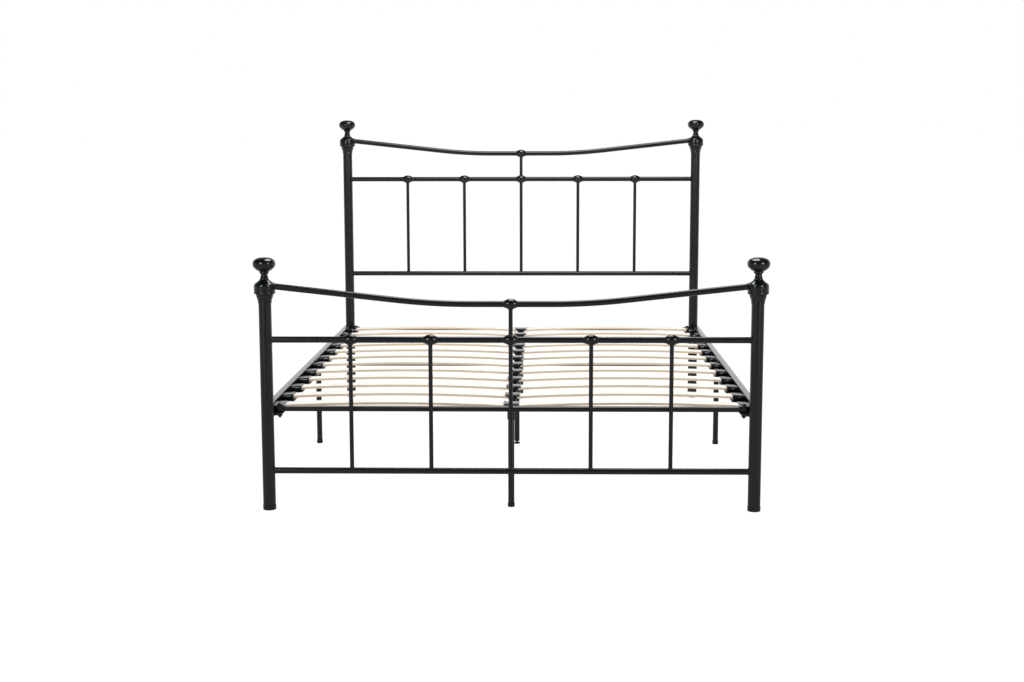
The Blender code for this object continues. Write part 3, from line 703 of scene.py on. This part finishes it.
def single_holder_mesh():
    """A slat holder of the right-hand side: x = 0 at the rail's upright face, mouth towards -x."""
    length, half, height = 0.0370, HOLDER_HALF, 0.0168
    body = bmesh.new()
    top = filleted([(-length, 0.0003, 0.0008), (-0.0002, 0.0003, 0.0008), (-0.0002, 0.0138, 0.0030),
                    (-0.0200, 0.0152, 0.0100), (-length + 0.0040, height - 0.0010, 0.0030),
                    (-length, height, 0.0010)], 4)
    stations = [(-half, 0.0022), (-half + 0.0006, 0.0010), (-half + 0.0022, 0.0), (half - 0.0022, 0.0),
                (half - 0.0006, 0.0010), (half, 0.0022)]
    rings = []
    for y, drop in stations:
        ring = []
        for x, z in top:
            lowered = z - drop if z > 0.0080 else z + 0.3 * drop
            ring.append(body.verts.new((x, y, lowered)))
        rings.append(ring)
    skin(body, rings)
    tools = []
    cutter = bmesh.new()
    mouth_half, mouth_floor = SLAT_WIDTH / 2 + SLAT_PLAY, 0.0036
    rounded_block(cutter, (-length - 0.010, -mouth_half, mouth_floor),
                  (-0.0049, mouth_half, mouth_floor + SLAT_THICKNESS + 0.0024), 0.0016, 3)
    tools.append(("DIFFERENCE", cutter))
    for y in (-0.0170, 0.0170):
        peg = bmesh.new()
        turned(peg, [(0, -0.0078), (0.0022, -0.0078), (0.0038, -0.0056), (0.0044, -0.0032),
                     (0.0033, -0.0029), (0.0033, 0.0015), (0, 0.0015)], 24,
               Matrix.Translation((-0.0200, y, 0)))
        tools.append(("UNION", peg))
    return combined("slat_holder", body, tools)


def double_holder_mesh():
    """A centre slat holder, its saddle resting on the round centre tube; z = 0 at the rails' seat."""
    half, side_half, roof_half = HOLDER_HALF, 0.0150, 0.0236
    body = bmesh.new()
    roof = []
    steps = 20
    for k in range(steps + 1):
        x = roof_half * (2 * k / steps - 1)
        horn = max(0.0, (abs(x) - 0.0175) / 0.0061) ** 1.6
        roof.append((x, 0.0152 + 0.0006 * (x / roof_half) ** 2 + 0.0028 * horn))
    under = [(x, z - 0.0028) for x, z in roof]
    walls = [(side_half, 0.0118), (side_half - 0.0006, 0.0072), (0.0128, 0.0036), (0.0100, 0.0021),
             (-0.0100, 0.0021), (-0.0128, 0.0036), (-side_half + 0.0006, 0.0072), (-side_half, 0.0118)]
    rim_right = [p for p in reversed(under) if p[0] > side_half + 0.0004]
    rim_left = [p for p in reversed(under) if p[0] < -side_half - 0.0004]
    outline = roof + rim_right + walls + rim_left
    rings = []
    for y, inset in ((-half, 0.0011), (-half + 0.0004, 0.0004), (-half + 0.0011, 0.0), (half - 0.0011, 0.0),
                     (half - 0.0004, 0.0004), (half, 0.0011)):
        ring = []
        for x, z in outline:
            ring.append(body.verts.new((x - math.copysign(min(inset, abs(x)), x), y,
                                        z - inset if z > 0.0090 else z + inset)))
        rings.append(ring)
    skin(body, rings)
    mouth_half, mouth_floor = SLAT_WIDTH / 2 + SLAT_PLAY, 0.0036
    tools = []
    for x_side in (-1, 1):
        cutter = bmesh.new()
        low, high = mirrored(x_side, 1, (0.0022, -mouth_half, mouth_floor),
                             (0.0330, mouth_half, mouth_floor + SLAT_THICKNESS + 0.0010))
        rounded_block(cutter, low, high, 0.0012, 2)
        for vert in cutter.verts:
            if vert.co.z > 0.0080:
                vert.co.z += 0.0022 * (abs(vert.co.x) - 0.0022) / 0.0308
        tools.append(("DIFFERENCE", cutter))
    saddle = bmesh.new()
    outline = filleted([(-0.0088, -0.0105, 0.0010), (0.0088, -0.0105, 0.0010), (0.0100, 0.0030, 0.0008),
                        (-0.0100, 0.0030, 0.0008)], 3)
    rings = [[saddle.verts.new((x, y, z)) for x, z in outline] for y in (-half + 0.0050, half - 0.0050)]
    skin(saddle, rings)
    tools.append(("UNION", saddle))
    return combined("double_slat_holder", body, tools)


def make_holders():
    single = single_holder_mesh()
    double = double_holder_mesh()
    half_turn = Matrix.Rotation(math.pi, 4, "Z")
    for row, y in enumerate(ROW_Y, 1):
        for side, x_side in SIDES.items():
            piece = add_piece(f"slat_holder_{side}_{row:02d}", single, "black_plastic",
                              location=(x_side * ANGLE_INNER, y, SEAT))
            if x_side < 0:
                piece.matrix_world = Matrix.Translation((x_side * ANGLE_INNER, y, SEAT)) @ half_turn
        add_piece(f"centre_slat_holder_{row:02d}", double, "black_plastic", location=(0, y, SEAT))


def make_centre_rail():
    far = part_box("centre_rail")[1].y
    drop = 0.0006
    axis_height = SEAT - drop - RAIL_R
    bar_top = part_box("mid_support_frame")[1].z
    near = MID_BAR_WIDTH / 2 + GAP
    bm = bmesh.new()
    for y_side in (-1, 1):
        straight_tube(bm, Vector((0, y_side * near, axis_height)),
                      Vector((0, y_side * (far - 0.002), axis_height)), RAIL_R, TUBE_SIDES, X_AXIS)
    add_piece("centre_rail_tubes", bm, "frame_paint", ["centre_rail"])
    bm = bmesh.new()
    rounded_block(bm, (-0.0200, -0.0300, bar_top + GAP), (0.0200, 0.0300, SEAT + 0.0004), 0.0009, 2)
    for y in (-0.0200, 0.0200):
        bolt_mesh(bm, 0.0056, 0.0032, Matrix.Translation((0, y, SEAT + 0.0004)))
    add_piece("centre_joint_plate", bm, "frame_paint")
    for end, y_side in ENDS.items():
        bm = bmesh.new()
        outer = y_side * far
        inner = outer - y_side * SOCKET_BLOCK
        under = SEAT - SOCKET_BLOCK + 0.0002
        outline = filleted([(-0.0115, SEAT, 0.0020), (-0.0115, SEAT - 0.0190, 0.0040),
                            (-0.0092, under, 0.0020), (0.0092, under, 0.0020),
                            (0.0115, SEAT - 0.0190, 0.0040), (0.0115, SEAT, 0.0020)], 4)
        rings = [[bm.verts.new((x, y, z)) for x, z in outline] for y in (inner, outer)]
        skin(bm, rings)
        add_piece(f"{end}_centre_socket", bm, "frame_paint", bevel=0.0010)


def make_end_bars():
    for end, y_side in ENDS.items():
        node = f"{end}_end_bar"
        lift, height, bracket_height = END_BARS[end]
        y = BAR_Y[end]
        bottom = SEAT + lift
        half = END_BAR_WIDTH / 2
        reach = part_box(node)[1].x
        bm = bmesh.new()
        outline = box_outline((-half, 0), (half, height), 0.0022, 4)
        rings = [[bm.verts.new((x, y + a, bottom + b)) for a, b in outline] for x in (-reach, reach)]
        skin(bm, rings)
        add_piece(f"{node}_tube", bm, "frame_paint", [node], bevel=0.0005)
        if lift > GAP:
            bm = bmesh.new()
            low, high = mirrored(1, y_side, (-0.0115, abs(y) + half - 0.0235, SEAT + GAP),
                                 (0.0115, abs(y) + half - 0.0012, bottom + height / 2))
            rounded_block(bm, low, high, 0.0008, 2)
            add_piece(f"{end}_bar_pad", bm, "black_plastic")
        for side, x_side in SIDES.items():
            make_corner_bracket(end, side, x_side, y, bracket_height)


def make_corner_bracket(end, side, x_side, y, height):
    """A block over the bar's end and the shelf, with an upright bolt, washer and nut."""
    outer = ANGLE_OUTER - 0.0140
    width = 0.0310
    x = outer - width / 2
    bm = bmesh.new()
    xs = sorted((x_side * (outer - width), x_side * outer))
    rounded_block(bm, (xs[0], y - width / 2, SEAT + GAP), (xs[1], y + width / 2, SEAT + height), 0.0026, 4)
    add_piece(f"{end}_corner_bracket_{side}", bm, "black_plastic")
    bm = bmesh.new()
    top = Matrix.Translation((x_side * x, y, SEAT + height))
    bolt_mesh(bm, 0.0068, 0.0042, top, washer=0.0092)
    lug_bottom = ANGLE_BOTTOM - GAP - LUG_THICKNESS
    place = Matrix.Translation((x_side * x, y, 0))
    turned(bm, [(0, lug_bottom - 0.0015), (0.0080, lug_bottom - 0.0015), (0.0083, lug_bottom - 0.0012),
                (0.0083, lug_bottom - 0.0003), (0.0080, lug_bottom), (0, lug_bottom)], 32, place)
    prism(bm, hex_outline(0.0130), lug_bottom - 0.0069, lug_bottom - 0.0014, place)
    threaded_rod(bm, 0.0038, lug_bottom - 0.0112, SEAT + height - 0.0010, 0.00125, place)
    add_piece(f"{end}_corner_bolt_{side}", bm, "casting_paint")


def leg_cap(bm, radius, place, height=0.0125):
    """A moulded cap under a round leg."""
    outside = smooth_profile([(radius - 0.0016, 0), (radius - 0.0004, 0.0004), (radius, 0.0016),
                              (radius, height - 0.0016), (radius - 0.0003, height - 0.0004),
                              (radius - 0.0010, height)], 3)
    turned(bm, [(0, 0)] + outside + [(0, height)], 40, place)


def make_mid_support():
    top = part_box("mid_support_frame")[1].z
    under = top - MID_BAR_THICKNESS
    bar_end = MID_LEG_X + 0.0080
    bm = bmesh.new()
    outline = box_outline((-MID_BAR_WIDTH / 2, under), (MID_BAR_WIDTH / 2, top), 0.0008, 4)
    rings = [[bm.verts.new((x, a, b)) for a, b in outline] for x in (-bar_end, bar_end)]
    skin(bm, rings)
    add_piece("mid_cross_bar", bm, "frame_paint", ["mid_support_frame"], bevel=0.0005)
    for side, x_side in SIDES.items():
        foot = Vector((x_side * MID_LEG_X, 0, 0))
        bm = bmesh.new()
        straight_tube(bm, foot + 0.0040 * Z_AXIS, foot + (under + 0.0010) * Z_AXIS, LEG_R,
                      TUBE_SIDES, X_AXIS)
        path = [foot + Vector((x, y, under)) for x, y in circle(LEG_R, 60)]
        scales = [1 + 0.15 * math.sin(20 * 2 * math.pi * i / len(path)) for i in range(len(path))]
        swept(bm, path, circle(0.0012, 8), Z_AXIS, scales, closed=True)
        add_piece(f"mid_leg_{side}", bm, "frame_paint")
        bm = bmesh.new()
        leg_cap(bm, CAP_R, Matrix.Translation(foot))
        add_piece(f"mid_leg_cap_{side}", bm, "black_plastic")


def make_centre_legs():
    for end in ENDS:
        node = f"{end}_centre_leg"
        low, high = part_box(node)
        y = BAR_Y[end]
        bm = bmesh.new()
        straight_tube(bm, Vector((0, y, 0.0040)), Vector((0, y, high.z)), LEG_R, TUBE_SIDES, X_AXIS)
        add_piece(f"{node}_tube", bm, "frame_paint", [node])
        bm = bmesh.new()
        leg_cap(bm, CAP_R, Matrix.Translation((0, y, 0)))
        add_piece(f"{node}_cap", bm, "black_plastic")

    low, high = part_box("mid_centre_leg")
    bore = 0.0043
    bm = bmesh.new()
    turned(bm, [(0, low.z + 0.050), (bore, low.z + 0.050), (bore, low.z + 0.0005), (bore + 0.0004, low.z),
                (LEG_R - 0.0008, low.z), (LEG_R, low.z + 0.0008), (LEG_R, high.z - 0.0006),
                (LEG_R - 0.0006, high.z), (0, high.z)], TUBE_SIDES)
    add_piece("mid_centre_leg_tube", bm, "frame_paint", ["mid_centre_leg"])
    bm = bmesh.new()
    pad = smooth_profile([(0.0098, 0), (0.0107, 0.0004), (0.0110, 0.0014), (0.0110, 0.0034),
                          (0.0106, 0.0044), (0.0092, 0.0050)], 3)
    turned(bm, [(0, 0)] + pad + [(0.0066, 0.0052), (0.0066, 0.0064), (0, 0.0064)], 40)
    threaded_rod(bm, 0.0040, 0.0060, 0.0400, 0.00125)
    add_piece("levelling_pad", bm, "black_plastic", ["levelling_foot"], body="levelling_foot")


def make_slats():
    """Crowned slats with eased edges; the ply attribute is the height through the thickness, 0 to 1."""
    outline = box_outline((-SLAT_WIDTH / 2, 0), (SLAT_WIDTH / 2, SLAT_THICKNESS), 0.0016, 4)
    stations = 28
    for side in SIDES:
        for row in range(1, ROWS + 1):
            node = f"slat_{side}_{row:02d}"
            low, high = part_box(node)
            centre = (low + high) / 2
            half = (high.x - low.x) / 2
            bm = bmesh.new()
            layer = bm.verts.layers.float.new("ply")
            rings = []
            for k in range(stations + 1):
                t = 2 * k / stations - 1
                rise = SLAT_CROWN * (1 - t * t)
                ring = []
                for a, b in outline:
                    vert = bm.verts.new((centre.x + t * half, centre.y + a, low.z + rise + b))
                    vert[layer] = b / SLAT_THICKNESS
                    ring.append(vert)
                rings.append(ring)
            skin(bm, rings)
            add_piece(f"birch_{node}", bm, "birch", [node])


# ---------------------------------------------------------------- studio
def area_light(name, place, target, size, watts):
    light = bpy.data.lights.new(name, "AREA")
    light.shape = "RECTANGLE"
    light.size, light.size_y = size
    light.energy = watts
    lamp = bpy.data.objects.new(name, light)
    bpy.context.scene.collection.objects.link(lamp)
    lamp.location = place
    lamp.rotation_euler = (Vector(target) - Vector(place)).to_track_quat("-Z", "Y").to_euler()
    lamp.visible_camera = False


def ranged(tree, socket, start, end, low, high):
    """A value moved smoothly from one range to another."""
    node = tree.nodes.new("ShaderNodeMapRange")
    node.interpolation_type = "SMOOTHSTEP"
    tree.links.new(socket, node.inputs["Value"])
    for key, value in zip(("From Min", "From Max", "To Min", "To Max"), (start, end, low, high)):
        node.inputs[key].default_value = value
    return node.outputs[0]


def calculated(tree, operation, *values):
    node = tree.nodes.new("ShaderNodeMath")
    node.operation = operation
    for socket, value in zip(node.inputs, values):
        tree.links.new(value, socket)
    return node.outputs[0]


def greatest(tree, first, second):
    return calculated(tree, "MAXIMUM", first, second)


def times(tree, first, second):
    return calculated(tree, "MULTIPLY", first, second)


def absolute(tree, value):
    return calculated(tree, "ABSOLUTE", value)


def split_place(tree, output):
    place = tree.nodes.new("ShaderNodeTexCoord").outputs[output]
    split = tree.nodes.new("ShaderNodeSeparateXYZ")
    tree.links.new(place, split.inputs[0])
    return split.outputs


def make_floor():
    """White paper. In reflections it is grey, dark around the camera and lighter behind the bed."""
    mesh = bpy.data.meshes.new("studio_floor")
    reach = 60.0
    mesh.from_pydata([(-reach, -reach, 0), (reach, -reach, 0), (reach, reach, 0), (-reach, reach, 0)], [],
                     [(0, 1, 2, 3)])
    floor = bpy.data.objects.new("studio_floor", mesh)
    bpy.context.scene.collection.objects.link(floor)
    paper = bpy.data.materials.new("white_paper")
    paper.use_nodes = True
    tree = paper.node_tree
    shader = tree.nodes["Principled BSDF"]
    shader.inputs["Base Color"].default_value = (0.08, 0.08, 0.08, 1)
    shader.inputs["Roughness"].default_value = 0.9
    shader.inputs["Emission Color"].default_value = (1, 1, 1, 1)
    shader.inputs["Emission Strength"].default_value = 0.965
    place = split_place(tree, "Object")
    reflected = tree.nodes.new("ShaderNodeEmission")
    behind = ranged(tree, place["Y"], -0.4, 1.2, 0.42, 0.85)
    unlit = ranged(tree, place["Y"], -4.4, -3.2, 0.0, 1.0)
    beside = ranged(tree, absolute(tree, place["X"]), 0.35, 0.90, 0.06, 1.0)
    tree.links.new(times(tree, behind, greatest(tree, unlit, beside)), reflected.inputs["Strength"])
    mixer = tree.nodes.new("ShaderNodeMixShader")
    tree.links.new(tree.nodes.new("ShaderNodeLightPath").outputs["Is Glossy Ray"], mixer.inputs[0])
    tree.links.new(shader.outputs[0], mixer.inputs[1])
    tree.links.new(reflected.outputs[0], mixer.inputs[2])
    tree.links.new(mixer.outputs[0], tree.nodes["Material Output"].inputs["Surface"])
    mesh.materials.append(paper)


def make_studio():
    """A white backdrop behind the bed, a dim room in front, two softboxes, two strips, one overhead."""
    world = bpy.data.worlds.new("studio")
    bpy.context.scene.world = world
    world.use_nodes = True
    tree = world.node_tree
    background = tree.nodes["Background"]
    direction = split_place(tree, "Generated")
    backdrop = times(tree, ranged(tree, direction["Y"], 0.10, 0.80, 0.22, 1.0),
                     ranged(tree, direction["Z"], 0.30, 0.55, 1.0, 0.17))
    ray = tree.nodes.new("ShaderNodeLightPath").outputs
    scattered = ranged(tree, ray["Is Diffuse Ray"], 0.0, 1.0, 0.0, 0.45)
    tree.links.new(greatest(tree, greatest(tree, backdrop, scattered), ray["Is Camera Ray"]),
                   background.inputs["Strength"])
    background.inputs["Color"].default_value = (1, 1, 1, 1)

    aim = (0, -0.9, 0.6)
    area_light("softbox_left", (-1.75, -3.3, 1.65), aim, (0.9, 1.2), 26)
    area_light("softbox_right", (2.15, -3.0, 1.65), aim, (0.9, 1.2), 26)
    area_light("strip_left", (-1.85, -2.9, 0.62), (-0.3, -0.9, 0.55), (0.5, 1.1), 1.3)
    area_light("strip_right", (1.75, -2.6, 0.62), (0.3, -0.9, 0.55), (0.5, 1.1), 1.3)
    area_light("softbox_overhead", (0.2, 0.1, 3.3), (0.2, 0.1, 0), (1.6, 2.4), 88)

    view = bpy.context.scene.view_settings
    view.view_transform = "Standard"
    view.look = "None"


def make_camera():
    """The camera stands at the foot of the bed, a little right of its middle, looking slightly down."""
    camera = bpy.data.cameras.new("camera")
    camera.sensor_width = 36.0
    camera.lens = 53.8318
    camera.clip_end = 200.0
    viewer = bpy.data.objects.new("camera", camera)
    bpy.context.scene.collection.objects.link(viewer)
    yaw, pitch, roll = -0.02211, 0.13835, -0.00179
    forward = Vector((math.sin(yaw) * math.cos(pitch), math.cos(yaw) * math.cos(pitch), -math.sin(pitch)))
    level = Vector((math.cos(yaw), -math.sin(yaw), 0))
    upright = level.cross(forward)
    right = math.cos(roll) * level + math.sin(roll) * upright
    up = -math.sin(roll) * level + math.cos(roll) * upright
    turn = Matrix((right, up, -forward)).transposed().to_4x4()
    viewer.matrix_world = Matrix.Translation((0.10357, -5.4874, 1.14159)) @ turn
    bpy.context.scene.camera = viewer


for panel in PANELS:
    make_panel(panel)
make_side_rails()
make_holders()
make_centre_rail()
make_end_bars()
make_mid_support()
make_centre_legs()
make_slats()
make_floor()
make_studio()
make_camera()
